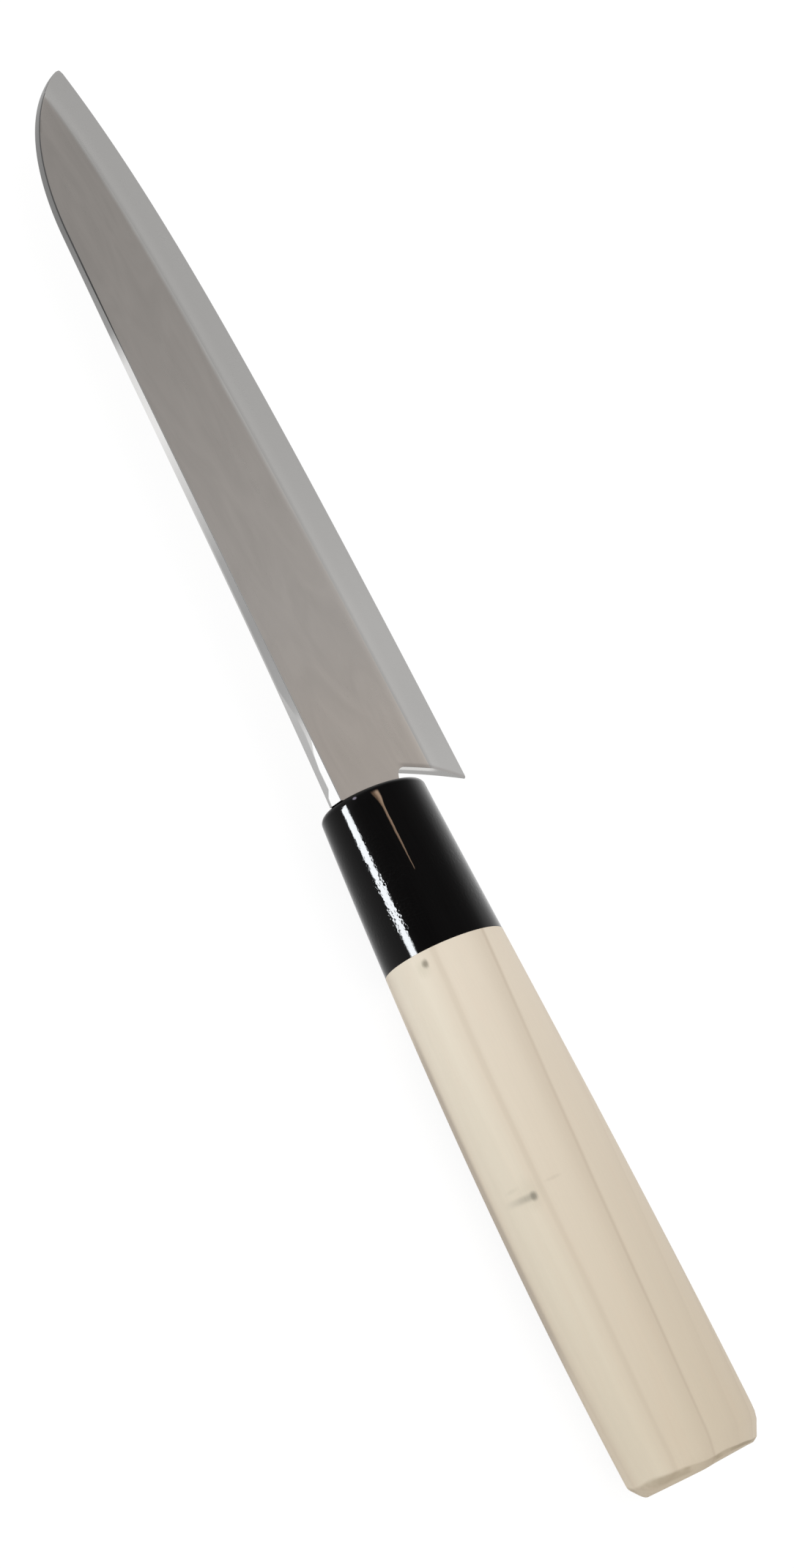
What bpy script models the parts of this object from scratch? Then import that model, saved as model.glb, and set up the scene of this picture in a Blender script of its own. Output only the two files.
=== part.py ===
"""Santoku knife with a single-bevel blade, a hidden tang, an oval ferrule and a wooden handle.

The knife lies on its flat side: +X runs from the butt to the point, +Y from the edge to the spine,
and +Z out of the ground face of the blade. Lengths below are in the knife's own frame, whose zero
is on the handle's axis at the front of the ferrule. An empty then carries every piece so that the
origin is the centre of the bottom of the bounding box.
"""

import math

import bmesh
import bpy
import numpy as np

MM = 0.001

# Clearance left between pieces that touch on the real knife
FIT_GAP = 0.3 * MM

# Blade outline; the curves are cubic Beziers in millimetres
TIP_X = 165.0 * MM
NECK_X = 0.3 * MM
EDGE_CURVE = ((0.0, -34.8), (91.8, -32.2), (135.5, -28.3), (165.0, -16.8))
SPINE_CURVE = ((0.0, 10.9), (41.0, 8.55), (82.0, 8.9), (123.0, 8.1))
POINT_CURVE = ((123.0, 8.1), (140.3, 7.8), (155.9, -1.1), (165.0, -15.8))
NOSE_LENGTH = 0.8 * MM
NOSE_LIMIT = 0.98
CURVE_SAMPLES = 200
SMOOTH_ANGLE = 30
BLADE_SMOOTH_ANGLE = 12

# Notch behind the heel: the underside of the neck, a fillet, then the heel's curve down to the edge
NECK_BOTTOM_Y = -9.6 * MM
NECK_FILLET = 3.4 * MM
HEEL_CURVE = ((5.4, -13.3), (4.77, -20.3), (3.84, -27.44), (2.6, -34.72))
HEEL_STEPS = 12
HEEL_TIP_RADIUS = 0.7 * MM
HEEL_CHAMFER = 0.35 * MM
ARC_STEPS = 8
CUT_MARGIN = 8.0 * MM

# Blade grind
THICKNESS_CURVE = (2.93, 1.07, 1.5, 1.4)
BACK_Z = -THICKNESS_CURVE[0] * MM / 2
BEVEL_HEIGHT = 12.7 * MM
HEEL_FLARE = 1.1 * MM
HEEL_FLARE_LENGTH = 45.0 * MM
POINT_FLARE = 1.6 * MM
POINT_FLARE_LENGTH = 24.0 * MM
RIDGE_LIMIT = 0.985
BEVEL_THINNING = 0.92
EDGE_LAND = 0.1 * MM
SPINE_EASE = 0.45 * MM
EASE_OF_THICKNESS = 0.3
RIM_OF_HEIGHT = 0.2
BLADE_STATIONS = 60

# Hollow ground into the back, inside a flat rim
HOLLOW_DEPTH = 0.25 * MM
HOLLOW_START_X = 12.0 * MM
HOLLOW_END_X = 152.0 * MM
HOLLOW_RUN_OUT = 14.0 * MM
HOLLOW_RIM = 2.4 * MM
HOLLOW_POINTS = 5

# Tang, as half heights and half thicknesses at the neck and at its end
TANG_END_X = -92.0 * MM
TANG_ROOT_X = 3.0 * MM
TANG_FRONT = (6.2 * MM, 1.25 * MM)
TANG_REAR = (2.6 * MM, 0.9 * MM)
TANG_CORNER = 0.4 * MM

# Oval grip: distance of its upper and lower outlines and of its sides from the axis, front to butt
BUTT_X = -132.0 * MM
GRIP_TOP_CURVE = (11.4, 14.9, 16.6, 13.6)
GRIP_BOTTOM_CURVE = (11.5, 12.6, 14.7, 15.4)
GRIP_SIDE_CURVE = (9.35, 11.3, 12.8, 11.95)
GRIP_SEGMENTS = 64
HANDLE_RINGS = 16

# Butt: a hand-cut chamfer, as length and depth, is widest at one angle round the grip; the side
# opposite draws in over the last stretch before it
WIDE_ANGLE = math.radians(-50)
CHAMFER_WIDE = (3.0 * MM, 2.2 * MM)
CHAMFER_NARROW = (0.72 * MM, 0.58 * MM)
BUTT_ROUND_LENGTH = 6.1 * MM
BUTT_ROUND_DEPTH = 2.2 * MM
BUTT_RINGS = 5
BUTT_RING_GAP = 0.5 * MM
CHAMFER_SHAPE = ((1.0, 0.0), (0.78, 0.12), (0.22, 0.68), (0.0, 1.0))

# Ferrule with its bore, the handle's tenon inside it and the slots for the tang
JOINT_X = -31.6 * MM
RIM_RADIUS = 1.3 * MM
RIM_STEPS = 5
FERRULE_RINGS = 7
FERRULE_WALL = 1.9 * MM
FERRULE_FRONT = 2.5 * MM
BEDDING_WALL = 0.75 * MM
SLOT_END_X = -95.5 * MM
OVERLAP = 3.0 * MM


def bezier(points, t):
    """Points of a cubic Bezier curve at the parameters t; points may be pairs or plain numbers."""
    p = np.asarray(points, dtype=float)
    t = np.asarray(t, dtype=float)
    if p.ndim == 2:
        t = t[..., None]
    return (1 - t) ** 3 * p[0] + 3 * t * (1 - t) ** 2 * p[1] + 3 * t**2 * (1 - t) * p[2] + t**3 * p[3]


def height_along(*curves):
    """A function that gives y at x for an outline made of joined curves, in metres."""
    samples = np.vstack([bezier(curve, np.linspace(0, 1, CURVE_SAMPLES)) for curve in curves]) * MM
    return lambda x: float(np.interp(x, samples[:, 0], samples[:, 1]))


edge_y = height_along(EDGE_CURVE)
spine_y = height_along(SPINE_CURVE, POINT_CURVE)


def ease(x):
    """Smooth step from 0 to 1."""
    x = min(max(x, 0.0), 1.0)
    return x * x * (3 - 2 * x)


def blade_ends(x):
    """Edge and spine heights at x, drawn together in a round nose at the point."""
    low = edge_y(x)
    high = spine_y(x)
    into_nose = (x - (TIP_X - NOSE_LENGTH)) / NOSE_LENGTH
    if into_nose > 0:
        share = math.sqrt(1 - min(into_nose, NOSE_LIMIT) ** 2)
        middle = (low + high) / 2
        low = middle + (low - middle) * share
        high = middle + (high - middle) * share
    return low, high


def bevel_height(x):
    """Height of the ridge above the edge: a little more at the heel and where it runs to the spine."""
    at_heel = max(0.0, 1 - x / HEEL_FLARE_LENGTH)
    at_point = max(0.0, 1 - (TIP_X - x) / POINT_FLARE_LENGTH)
    return BEVEL_HEIGHT + HEEL_FLARE * at_heel**2 + POINT_FLARE * at_point**2


def blade_thickness(x, height):
    """Thickness of the blade at x, at a height above its edge: the bevel, then the flat above it."""
    full = float(bezier(THICKNESS_CURVE, x / TIP_X)) * MM
    bevel = bevel_height(x)
    at_ridge = full * BEVEL_THINNING
    if height < bevel:
        return EDGE_LAND + (at_ridge - EDGE_LAND) * height / bevel
    above = (height - bevel) / (spine_y(x) - edge_y(x) - bevel)
    return at_ridge + (full - at_ridge) * min(above, 1.0)


def hollow_depth(x):
    """Depth of the hollow ground into the back, which runs out before the neck and the point."""
    run_in = ease((x - HOLLOW_START_X) / HOLLOW_RUN_OUT)
    run_out = ease((HOLLOW_END_X - x) / HOLLOW_RUN_OUT)
    return HOLLOW_DEPTH * run_in * run_out


def blade_section(x):
    """Ring round the blade at x: up the ground face, over the eased spine and down the hollow back."""
    low, high = blade_ends(x)
    height = high - low
    top = blade_thickness(x, height)
    corner = min(SPINE_EASE, EASE_OF_THICKNESS * top, RIM_OF_HEIGHT * height)
    mid_corner = corner * (1 - math.sqrt(0.5))
    ridge = min(bevel_height(x), RIDGE_LIMIT * (height - corner))
    rim = min(HOLLOW_RIM, RIM_OF_HEIGHT * height)
    ring = [
        (low, EDGE_LAND),
        (low + ridge, blade_thickness(x, ridge)),
        (high - corner, top),
        (high - mid_corner, top - mid_corner),
        (high, top - corner),
        (high, corner),
        (high - mid_corner, mid_corner),
        (high - corner, 0.0),
        (high - rim, 0.0),
    ]
    for step in range(1, HOLLOW_POINTS + 1):
        share = step / (HOLLOW_POINTS + 1)
        y = high - rim + (low + 2 * rim - high) * share
        ring.append((y, hollow_depth(x) * 4 * share * (1 - share)))
    ring += [(low + rim, 0.0), (low, 0.0)]
    return [(x, y, BACK_Z + z) for y, z in ring]


def grip_point(x, angle, inset=0.0):
    """Point of the handle's or the ferrule's oval surface, drawn in by inset; angle 0 is the spine side."""
    along = x / BUTT_X
    last = max(0.0, 1 - (x - BUTT_X) / BUTT_ROUND_LENGTH)
    opposite = (1 - math.cos(angle - WIDE_ANGLE)) / 2
    inset += BUTT_ROUND_DEPTH * last**2 * opposite**2
    top = float(bezier(GRIP_TOP_CURVE, along)) * MM
    bottom = float(bezier(GRIP_BOTTOM_CURVE, along)) * MM
    side = float(bezier(GRIP_SIDE_CURVE, along)) * MM
    middle = (top - bottom) / 2
    half = (top + bottom) / 2
    return (x, middle + (half - inset) * math.cos(angle), (side - inset) * math.sin(angle))


def grip_angles():
    return [math.tau * step / GRIP_SEGMENTS for step in range(GRIP_SEGMENTS)]


def grip_section(x, inset=0.0):
    return [grip_point(x, angle, inset) for angle in grip_angles()]


def butt_section(share_length, share_depth):
    """Ring on the butt's chamfer, at a share of its length from the end and of its depth."""
    ring = []
    for angle in grip_angles():
        width = (1 + math.cos(angle - WIDE_ANGLE)) / 2
        length = CHAMFER_NARROW[0] + (CHAMFER_WIDE[0] - CHAMFER_NARROW[0]) * width
        depth = CHAMFER_NARROW[1] + (CHAMFER_WIDE[1] - CHAMFER_NARROW[1]) * width
        ring.append(grip_point(BUTT_X + length * share_length, angle, depth * share_depth))
    return ring


def bar_section(x, half_height, half_thickness):
    """Flat bar with small chamfers on its four long corners."""
    cut = min(TANG_CORNER, half_thickness / 3)
    quarter = [(half_height - cut, half_thickness), (half_height, half_thickness - cut)]
    ring = quarter + [(y, -z) for y, z in reversed(quarter)]
    ring += [(-y, z) for y, z in reversed(ring)]
    return [(x, y, z) for y, z in ring]


def taper(front_x, rear_x, extra):
    """Rings of a bar that follows the tang's taper from front_x to rear_x, larger by extra all round."""
    rings = []
    for x in (front_x, rear_x):
        share = min(max(x / TANG_END_X, 0.0), 1.0)
        half_height = TANG_FRONT[0] + (TANG_REAR[0] - TANG_FRONT[0]) * share
        half_thickness = TANG_FRONT[1] + (TANG_REAR[1] - TANG_FRONT[1]) * share
        rings.append(bar_section(x, half_height + extra, half_thickness + extra))
    return rings


def moved(ring, places):
    """Copies of a ring, each moved along the handle to one of the places."""
    return [[(x, y, z) for _, y, z in ring] for x in places]


def loft(name, rings, collection, smooth_angle=SMOOTH_ANGLE):
    """Closed mesh skinned over rings that have as many points each, with a flat cap at both ends."""
    bm = bmesh.new()
    loops = [[bm.verts.new(point) for point in ring] for ring in rings]
    count = len(loops[0])
    for front, rear in zip(loops, loops[1:]):
        for i in range(count):
            j = (i + 1) % count
            bm.faces.new((front[i], front[j], rear[j], rear[i]))
    bm.faces.new(reversed(loops[0]))
    bm.faces.new(loops[-1])
    bmesh.ops.recalc_face_normals(bm, faces=bm.faces)
    mesh = bpy.data.meshes.new(name)
    bm.to_mesh(mesh)
    bm.free()
    mesh.shade_smooth()
    mesh.set_sharp_from_angle(angle=math.radians(smooth_angle))
    piece = bpy.data.objects.new(name, mesh)
    collection.objects.link(piece)
    return piece


def boolean(piece, operation, other):
    """Cut or join piece with another object, which becomes a hidden guide."""
    other.hide_render = True
    other.display_type = "WIRE"
    modifier = piece.modifiers.new(other.name, "BOOLEAN")
    modifier.operation = operation
    modifier.solver = "EXACT"
    modifier.object = other


def material(piece, colour, roughness, metallic=0.0):
    surface = bpy.data.materials.new(piece.name)
    surface.use_nodes = True
    shader = surface.node_tree.nodes["Principled BSDF"]
    shader.inputs["Base Color"].default_value = (*colour, 1.0)
    shader.inputs["Roughness"].default_value = roughness
    shader.inputs["Metallic"].default_value = metallic
    piece.data.materials.append(surface)


def round_corner(before, corner, after, radius):
    """Points of the arc that rounds the corner between two straight stretches of an outline."""
    corner = np.asarray(corner)
    back = (np.asarray(before) - corner) / np.linalg.norm(np.asarray(before) - corner)
    ahead = (np.asarray(after) - corner) / np.linalg.norm(np.asarray(after) - corner)
    half = math.acos(float(back @ ahead)) / 2
    inward = (back + ahead) / np.linalg.norm(back + ahead)
    centre = corner + inward * radius / math.sin(half)
    start = corner + back * radius / math.tan(half) - centre
    end = corner + ahead * radius / math.tan(half) - centre
    first = math.atan2(start[1], start[0])
    turn = math.atan2(start[0] * end[1] - start[1] * end[0], float(start @ end))
    angles = [first + turn * step / ARC_STEPS for step in range(ARC_STEPS + 1)]
    return [(centre[0] + radius * math.cos(a), centre[1] + radius * math.sin(a)) for a in angles]


def notch_outline():
    """Notch behind the heel, from under the ferrule round the fillet and down past the heel's tip."""
    far_x = NECK_X - CUT_MARGIN
    heel = bezier(HEEL_CURVE, np.linspace(0, 1, HEEL_STEPS)) * MM
    lean = (heel[1][0] - heel[0][0]) / (heel[1][1] - heel[0][1])
    inner_corner = (heel[0][0] + lean * (NECK_BOTTOM_Y - heel[0][1]), NECK_BOTTOM_Y)
    outline = round_corner((far_x, NECK_BOTTOM_Y), inner_corner, heel[0], NECK_FILLET)
    outline += [tuple(point) for point in heel[1:-1]]
    ahead_x = heel[-1][0] + CUT_MARGIN
    outline += round_corner(heel[-2], heel[-1], (ahead_x, edge_y(ahead_x)), HEEL_TIP_RADIUS)
    return outline


def notch_cutter(guides):
    """Cutter for the notch, whose top leans out so that the front edge gets a small chamfer."""
    outline = np.array(notch_outline())
    along = np.gradient(outline, axis=0)
    outward = np.column_stack((-along[:, 1], along[:, 0]))
    outward /= np.linalg.norm(outward, axis=1)[:, None]
    far_x = NECK_X - CUT_MARGIN
    bottom_y = outline[-1][1] - CUT_MARGIN
    front_z = BACK_Z + THICKNESS_CURVE[0] * MM
    rings = []
    for z, spread in (
        (BACK_Z - CUT_MARGIN, 0.0),
        (front_z - HEEL_CHAMFER, 0.0),
        (front_z + HEEL_CHAMFER, 2 * HEEL_CHAMFER),
    ):
        ring = [(x, y, z) for x, y in outline + outward * spread]
        ring += [(ring[-1][0], bottom_y, z), (far_x, bottom_y, z), (far_x, ring[0][1], z)]
        rings.append(ring)
    return loft("heel_notch", rings, guides)


def make_blade(parts, guides):
    """Blade ground from the neck to the point, with the notch behind its heel and the hidden tang."""
    length = TIP_X - NECK_X
    turns = np.linspace(0, math.pi / 2, BLADE_STATIONS)
    rings = [blade_section(NECK_X + length * math.sin(a)) for a in turns]
    blade = loft("blade", rings, parts, BLADE_SMOOTH_ANGLE)
    boolean(blade, "DIFFERENCE", notch_cutter(guides))
    tang = loft("tang", taper(TANG_ROOT_X, TANG_END_X, 0.0), guides)
    boolean(blade, "UNION", tang)
    material(blade, (0.53, 0.52, 0.50), 0.34, 1.0)
    return blade


def rim_rings():
    """Sections round the ferrule's rounded front rim, from its front face back to its side."""
    rings = []
    for step in range(RIM_STEPS):
        angle = math.pi / 2 * step / (RIM_STEPS - 1)
        back = RIM_RADIUS * (1 - math.cos(angle))
        rings.append(grip_section(-back, RIM_RADIUS * (1 - math.sin(angle))))
    return rings


def make_ferrule(parts, guides):
    """Oval cap with a rounded front rim, bored from behind and slotted in front for the tang."""
    rings = rim_rings()
    rings += [grip_section(x) for x in np.linspace(-RIM_RADIUS, JOINT_X, FERRULE_RINGS)[1:]]
    ferrule = loft("ferrule", rings, parts)
    bore_ring = grip_section(-FERRULE_FRONT, FERRULE_WALL)
    bore = loft("ferrule_bore", moved(bore_ring, (-FERRULE_FRONT, JOINT_X - OVERLAP)), guides)
    boolean(ferrule, "DIFFERENCE", bore)
    slot = loft("ferrule_slot", taper(OVERLAP, -FERRULE_FRONT - OVERLAP, FIT_GAP), guides)
    boolean(ferrule, "DIFFERENCE", slot)
    material(ferrule, (0.008, 0.008, 0.009), 0.12)
    return ferrule


def make_handle(parts, guides):
    """Oval grip with a chamfered butt, a tenon that fills the ferrule and a slot for the tang."""
    front_x = JOINT_X - FIT_GAP
    round_x = BUTT_X + BUTT_ROUND_LENGTH
    body_end = BUTT_X + CHAMFER_WIDE[0] + BUTT_RING_GAP
    rings = [grip_section(x) for x in np.linspace(front_x, round_x, HANDLE_RINGS)]
    rings += [grip_section(x) for x in np.linspace(round_x, body_end, BUTT_RINGS)[1:]]
    rings += [butt_section(*shares) for shares in CHAMFER_SHAPE]
    handle = loft("handle", rings, parts)
    tenon_ring = grip_section(-FERRULE_FRONT, FERRULE_WALL + FIT_GAP)
    tenon_places = (-FERRULE_FRONT - FIT_GAP, front_x - OVERLAP)
    tenon = loft("handle_tenon", moved(tenon_ring, tenon_places), guides)
    boolean(handle, "UNION", tenon)
    slot_extra = BEDDING_WALL + 2 * FIT_GAP
    slot = loft("tang_slot", taper(OVERLAP, SLOT_END_X, slot_extra), guides)
    boolean(handle, "DIFFERENCE", slot)
    material(handle, (0.67, 0.57, 0.44), 0.55)
    return handle


def make_bedding(parts, guides):
    """Cured resin round the tang, open in front where the tang goes in."""
    front_x = -FERRULE_FRONT - FIT_GAP
    bedding = loft("tang_bedding", taper(front_x, SLOT_END_X + FIT_GAP, BEDDING_WALL + FIT_GAP), parts)
    cavity = loft("tang_cavity", taper(OVERLAP, TANG_END_X - FIT_GAP, FIT_GAP), guides)
    boolean(bedding, "DIFFERENCE", cavity)
    material(bedding, (0.21, 0.10, 0.03), 0.35)
    return bedding


def new_collection(name):
    collection = bpy.data.collections.new(name)
    bpy.context.scene.collection.children.link(collection)
    return collection


def place(pieces):
    """Carry every piece on one empty, so that the origin is the bottom centre of the bounding box."""
    carrier = bpy.data.objects.new("knife_origin", None)
    pieces[0].users_collection[0].objects.link(carrier)
    sections = [grip_section(x) for x in np.linspace(JOINT_X, BUTT_X, CURVE_SAMPLES)]
    top = max(y for ring in sections for _, y, _ in ring)
    side = max(z for ring in sections for _, _, z in ring)
    lowest = edge_y(HEEL_CURVE[-1][0] * MM + HEEL_TIP_RADIUS)
    carrier.location = (-(TIP_X + BUTT_X) / 2, -(top + lowest) / 2, side)
    for piece in pieces:
        piece.parent = carrier


def main():
    for old in list(bpy.data.objects):
        bpy.data.objects.remove(old)
    parts = new_collection("santoku_knife")
    guides = new_collection("guides")
    makers = (make_blade, make_ferrule, make_handle, make_bedding)
    pieces = [make(parts, guides) for make in makers]
    place(pieces + list(guides.objects))


main()
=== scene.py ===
import math

import bmesh
import bpy
import numpy as np
from mathutils import Matrix


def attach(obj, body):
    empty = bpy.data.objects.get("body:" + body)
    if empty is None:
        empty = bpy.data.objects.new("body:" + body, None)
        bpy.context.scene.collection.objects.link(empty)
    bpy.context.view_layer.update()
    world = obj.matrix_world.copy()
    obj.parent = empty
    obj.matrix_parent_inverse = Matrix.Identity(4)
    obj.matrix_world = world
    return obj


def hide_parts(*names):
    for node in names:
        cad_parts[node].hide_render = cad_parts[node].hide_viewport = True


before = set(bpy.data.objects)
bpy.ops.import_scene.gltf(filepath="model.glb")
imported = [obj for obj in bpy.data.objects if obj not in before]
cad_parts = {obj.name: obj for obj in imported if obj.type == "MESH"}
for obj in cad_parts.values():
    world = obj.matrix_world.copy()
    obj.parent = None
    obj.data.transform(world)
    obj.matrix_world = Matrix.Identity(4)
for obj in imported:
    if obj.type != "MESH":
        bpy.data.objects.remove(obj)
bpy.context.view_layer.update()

MM = 0.001
WHITE = (1.0, 1.0, 1.0, 1.0)

# Zero of the knife's own frame: on the handle's axis, at the front of the ferrule
ORIGIN = (-16.5 * MM, 9.779 * MM, 12.193 * MM)

# Outlines and grind of the blade, as in the part; the curves are cubic Beziers in millimetres
TIP_X = 165.0 * MM
NECK_X = -0.02 * MM
EDGE_CURVE = ((0.0, -34.8), (91.8, -32.2), (135.5, -28.3), (165.0, -16.8))
SPINE_CURVE = ((0.0, 10.9), (41.0, 8.55), (82.0, 8.9), (123.0, 8.1))
POINT_CURVE = ((123.0, 8.1), (140.3, 7.8), (155.9, -1.1), (165.0, -15.8))
NOSE_LENGTH = 0.8 * MM
NOSE_LIMIT = 0.985
CURVE_SAMPLES = 600
NECK_BOTTOM_Y = -9.6 * MM
NECK_FILLET = 3.4 * MM
HEEL_CURVE = ((5.4, -13.3), (4.77, -20.3), (3.84, -27.44), (2.6, -34.72))
HEEL_TIP_RADIUS = 0.7 * MM
HEEL_ROUND = 0.5 * MM
HEEL_ROUND_ANGLE = math.radians(84)
HEEL_ROUND_STEPS = 6
HEEL_OPENING = (1.0 * MM, 1.5 * MM)
THICKNESS_CURVE = (2.93, 1.07, 1.5, 1.4)
BACK_Z = -THICKNESS_CURVE[0] * MM / 2
BEVEL_HEIGHT = 12.7 * MM
HEEL_FLARE = 1.1 * MM
HEEL_FLARE_LENGTH = 45.0 * MM
POINT_FLARE = 1.6 * MM
POINT_FLARE_LENGTH = 24.0 * MM
RIDGE_LIMIT = 0.985
BEVEL_THINNING = 0.92
EDGE_LAND = 0.1 * MM
CRISP_EASE = 0.14 * MM
POINT_EASE = 0.30 * MM
POINT_EASE_START_X = 92.0 * MM
POINT_EASE_RUN_IN = 24.0 * MM
EASE_OF_THICKNESS = 0.3
RIM_OF_HEIGHT = 0.2
HOLLOW_DEPTH = 0.25 * MM
HOLLOW_START_X = 12.0 * MM
HOLLOW_END_X = 152.0 * MM
HOLLOW_RUN_OUT = 14.0 * MM
HOLLOW_RIM = 2.4 * MM
TANG_END_X = -92.0 * MM
TANG_ROOT_X = 3.0 * MM
TANG_FRONT = (6.2 * MM, 1.25 * MM)
TANG_REAR = (2.6 * MM, 0.9 * MM)
TANG_CHAMFER = 0.4 * MM
CUT_MARGIN = 8.0 * MM

# Grip, ferrule and butt
BUTT_X = -132.0 * MM
GRIP_TOP_CURVE = (11.4, 14.9, 16.6, 13.6)
GRIP_BOTTOM_CURVE = (11.5, 12.6, 14.7, 15.4)
GRIP_SIDE_CURVE = (9.35, 11.3, 12.8, 11.95)
WIDE_ANGLE = math.radians(-50)
CHAMFER_WIDE = (3.0 * MM, 2.2 * MM)
CHAMFER_NARROW = (0.72 * MM, 0.58 * MM)
CHAMFER_FALL = 1.4
CHAMFER_WAVES = ((0.07, 5, 0.6), (0.05, 11, 2.1))
CHAMFER_PROFILE = (
    (1.0, 0.0), (0.92, 0.02), (0.83, 0.07), (0.72, 0.16), (0.5, 0.38), (0.30, 0.58), (0.18, 0.72),
    (0.09, 0.85), (0.035, 0.96), (0.0, 1.10),
)
BUTT_ROUND_LENGTH = 6.1 * MM
BUTT_ROUND_DEPTH = 2.2 * MM
CUT_SLANT = 0.52 * MM
CUT_SLANT_LENGTH = 8.0 * MM
CUT_SLANT_START = -1.0 * MM
CUT_SLANT_REACH = 7.0 * MM
JOINT_X = -31.6 * MM
JOINT_GAP = 0.02 * MM
CHAMFER_ROOM = 1.2
RIM_RADIUS = 1.3 * MM
FERRULE_WALL = 1.9 * MM
FERRULE_FRONT = 2.5 * MM
SLOT_EXTRA = 1.35 * MM
SLOT_END_X = -95.5 * MM
FIT_GAP = 0.3 * MM
OVERLAP = 3.0 * MM

# How finely the pieces are built
BLADE_STATIONS = 220
BEVEL_STEPS = 8
FLAT_STEPS = 13
EASE_STEPS = 5
HOLLOW_STEPS = 16
HEEL_SAMPLES = 40
NECK_FILLET_STEPS = 20
HEEL_TIP_STEPS = 10
GRIP_SEGMENTS = 160
RIM_STEPS = 12
FERRULE_RINGS = 30
HANDLE_RINGS = 70


# Curves and sections

def bezier(points, t):
    """Point of a cubic curve, or its value where the curve is given by four plain numbers."""
    p = np.asarray(points, dtype=float)
    t = np.asarray(t, dtype=float)
    if p.ndim == 2:
        t = t[..., None]
    return (1 - t) ** 3 * p[0] + 3 * t * (1 - t) ** 2 * p[1] + 3 * t**2 * (1 - t) * p[2] + t**3 * p[3]


def height_along(*curves):
    samples = np.vstack([bezier(curve, np.linspace(0, 1, CURVE_SAMPLES)) for curve in curves]) * MM
    return lambda x: float(np.interp(x, samples[:, 0], samples[:, 1]))


edge_y = height_along(EDGE_CURVE)
spine_y = height_along(SPINE_CURVE, POINT_CURVE)


def ease(x):
    x = min(max(x, 0.0), 1.0)
    return x * x * (3 - 2 * x)


def blade_ends(x):
    """The edge's and the spine's heights at x, drawn together over the last of the nose."""
    low = edge_y(x)
    high = spine_y(x)
    into_nose = (x - (TIP_X - NOSE_LENGTH)) / NOSE_LENGTH
    if into_nose > 0:
        share = math.sqrt(1 - min(into_nose, NOSE_LIMIT) ** 2)
        middle = (low + high) / 2
        low = middle + (low - middle) * share
        high = middle + (high - middle) * share
    return low, high


def bevel_height(x):
    at_heel = max(0.0, 1 - x / HEEL_FLARE_LENGTH)
    at_point = max(0.0, 1 - (TIP_X - x) / POINT_FLARE_LENGTH)
    return BEVEL_HEIGHT + HEEL_FLARE * at_heel**2 + POINT_FLARE * at_point**2


def blade_thickness(x, height):
    """Thickness at x and at a height above the edge: the bevel first, then the tapering flat."""
    full = float(bezier(THICKNESS_CURVE, min(max(x / TIP_X, 0.0), 1.0))) * MM
    bevel = bevel_height(x)
    at_ridge = full * BEVEL_THINNING
    if height < bevel:
        return EDGE_LAND + (at_ridge - EDGE_LAND) * height / bevel
    above = (height - bevel) / (spine_y(x) - edge_y(x) - bevel)
    return at_ridge + (full - at_ridge) * min(above, 1.0)


def spine_ease(x):
    """Radius of the eased spine: crisp along the flat, softer where it runs down to the point."""
    return CRISP_EASE + (POINT_EASE - CRISP_EASE) * ease((x - POINT_EASE_START_X) / POINT_EASE_RUN_IN)


def hollow_depth(x):
    run_in = ease((x - HOLLOW_START_X) / HOLLOW_RUN_OUT)
    run_out = ease((HOLLOW_END_X - x) / HOLLOW_RUN_OUT)
    return HOLLOW_DEPTH * run_in * run_out


BEVEL, FLAT, SPINE, BACK, HOLLOW, HEEL, BREAK = range(7)


def blade_section(x):
    """Ring round the blade at x, and for each of its points the region that starts there."""
    low, high = blade_ends(x)
    height = high - low
    top = blade_thickness(x, height)
    corner = min(spine_ease(x), EASE_OF_THICKNESS * top, RIM_OF_HEIGHT * height)
    ridge = min(bevel_height(x), RIDGE_LIMIT * (height - corner))
    rim = min(HOLLOW_RIM, RIM_OF_HEIGHT * height)
    ring = []
    for share in np.linspace(0, 1, BEVEL_STEPS, endpoint=False):
        ring.append((low + ridge * share, blade_thickness(x, ridge * share), BEVEL))
    for share in np.linspace(0, 1, FLAT_STEPS, endpoint=False):
        at = ridge + (height - corner - ridge) * share
        ring.append((low + at, blade_thickness(x, at), FLAT))
    for step in range(EASE_STEPS + 1):
        a = math.pi / 2 * step / EASE_STEPS
        ring.append((high - corner * (1 - math.sin(a)), top - corner * (1 - math.cos(a)), SPINE))
    for step in range(EASE_STEPS):
        a = math.pi / 2 * step / EASE_STEPS
        ring.append((high - corner * (1 - math.cos(a)), corner * (1 - math.sin(a)), SPINE))
    ring.append((high - corner, 0.0, BACK))
    ring.append((high - corner - (rim - corner) / 2, 0.0, BACK))
    first = high - rim
    last = low + rim
    for share in np.linspace(0, 1, HOLLOW_STEPS, endpoint=False):
        ring.append((first + (last - first) * share, hollow_depth(x) * 4 * share * (1 - share), HOLLOW))
    ring += [(last, 0.0, BACK), (low + rim / 2, 0.0, BACK), (low, 0.0, SPINE)]
    return [(x, y, BACK_Z + z) for y, z, _ in ring], [region for _, _, region in ring]


def grip_point(x, angle, inset=0.0):
    """Point of the oval grip at x, rounded over toward the butt on the narrow chamfer's side."""
    along = min(max(x / BUTT_X, 0.0), 1.0)
    last = max(0.0, 1 - (x - BUTT_X) / BUTT_ROUND_LENGTH)
    opposite = (1 - math.cos(angle - WIDE_ANGLE)) / 2
    inset += BUTT_ROUND_DEPTH * last**2 * opposite**2
    top = float(bezier(GRIP_TOP_CURVE, along)) * MM
    bottom = float(bezier(GRIP_BOTTOM_CURVE, along)) * MM
    side = float(bezier(GRIP_SIDE_CURVE, along)) * MM
    middle = (top - bottom) / 2
    half = (top + bottom) / 2
    return (x, middle + (half - inset) * math.cos(angle), (side - inset) * math.sin(angle))


def grip_angles():
    return [math.tau * step / GRIP_SEGMENTS for step in range(GRIP_SEGMENTS)]


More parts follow.
